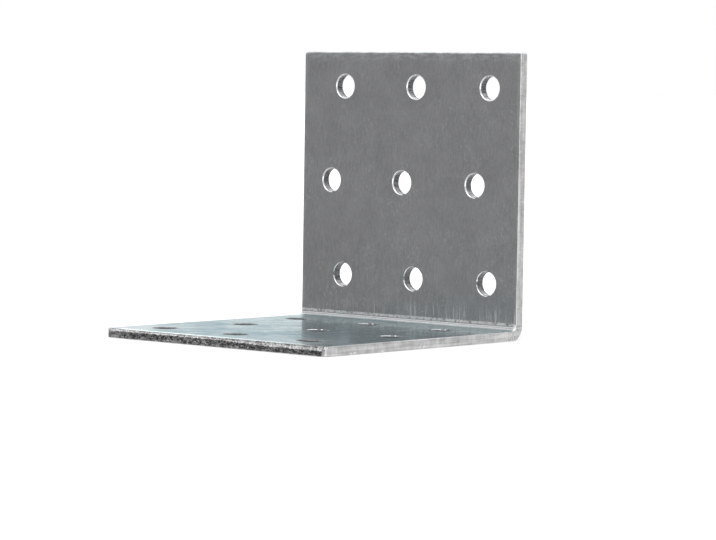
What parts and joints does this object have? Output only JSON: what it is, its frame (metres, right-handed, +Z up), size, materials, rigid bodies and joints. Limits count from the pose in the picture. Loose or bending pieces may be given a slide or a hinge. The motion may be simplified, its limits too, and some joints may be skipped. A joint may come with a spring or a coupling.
{
  "type": "corner brace bracket",
  "caption": "Right-angle bracket folded from zinc-plated steel sheet, with staggered rows of nail holes in both legs.",
  "frame": {"origin": "middle of the bounding box at the bottom, which is on the underside of the base leg, halfway along and across it", "axes": "+Z up along the upright leg, +Y towards the outer face of the upright leg, +X along the fold"},
  "size_m": [0.06, 0.062, 0.06],
  "materials": {
    "zinc_plated_steel": "zinc-plated rolled sheet, satin, with fine rolling lines; cut edges matt and grainy"
  },
  "bodies": {
    "root": {"bracket": "zinc_plated_steel"}
  },
  "joints": []
}
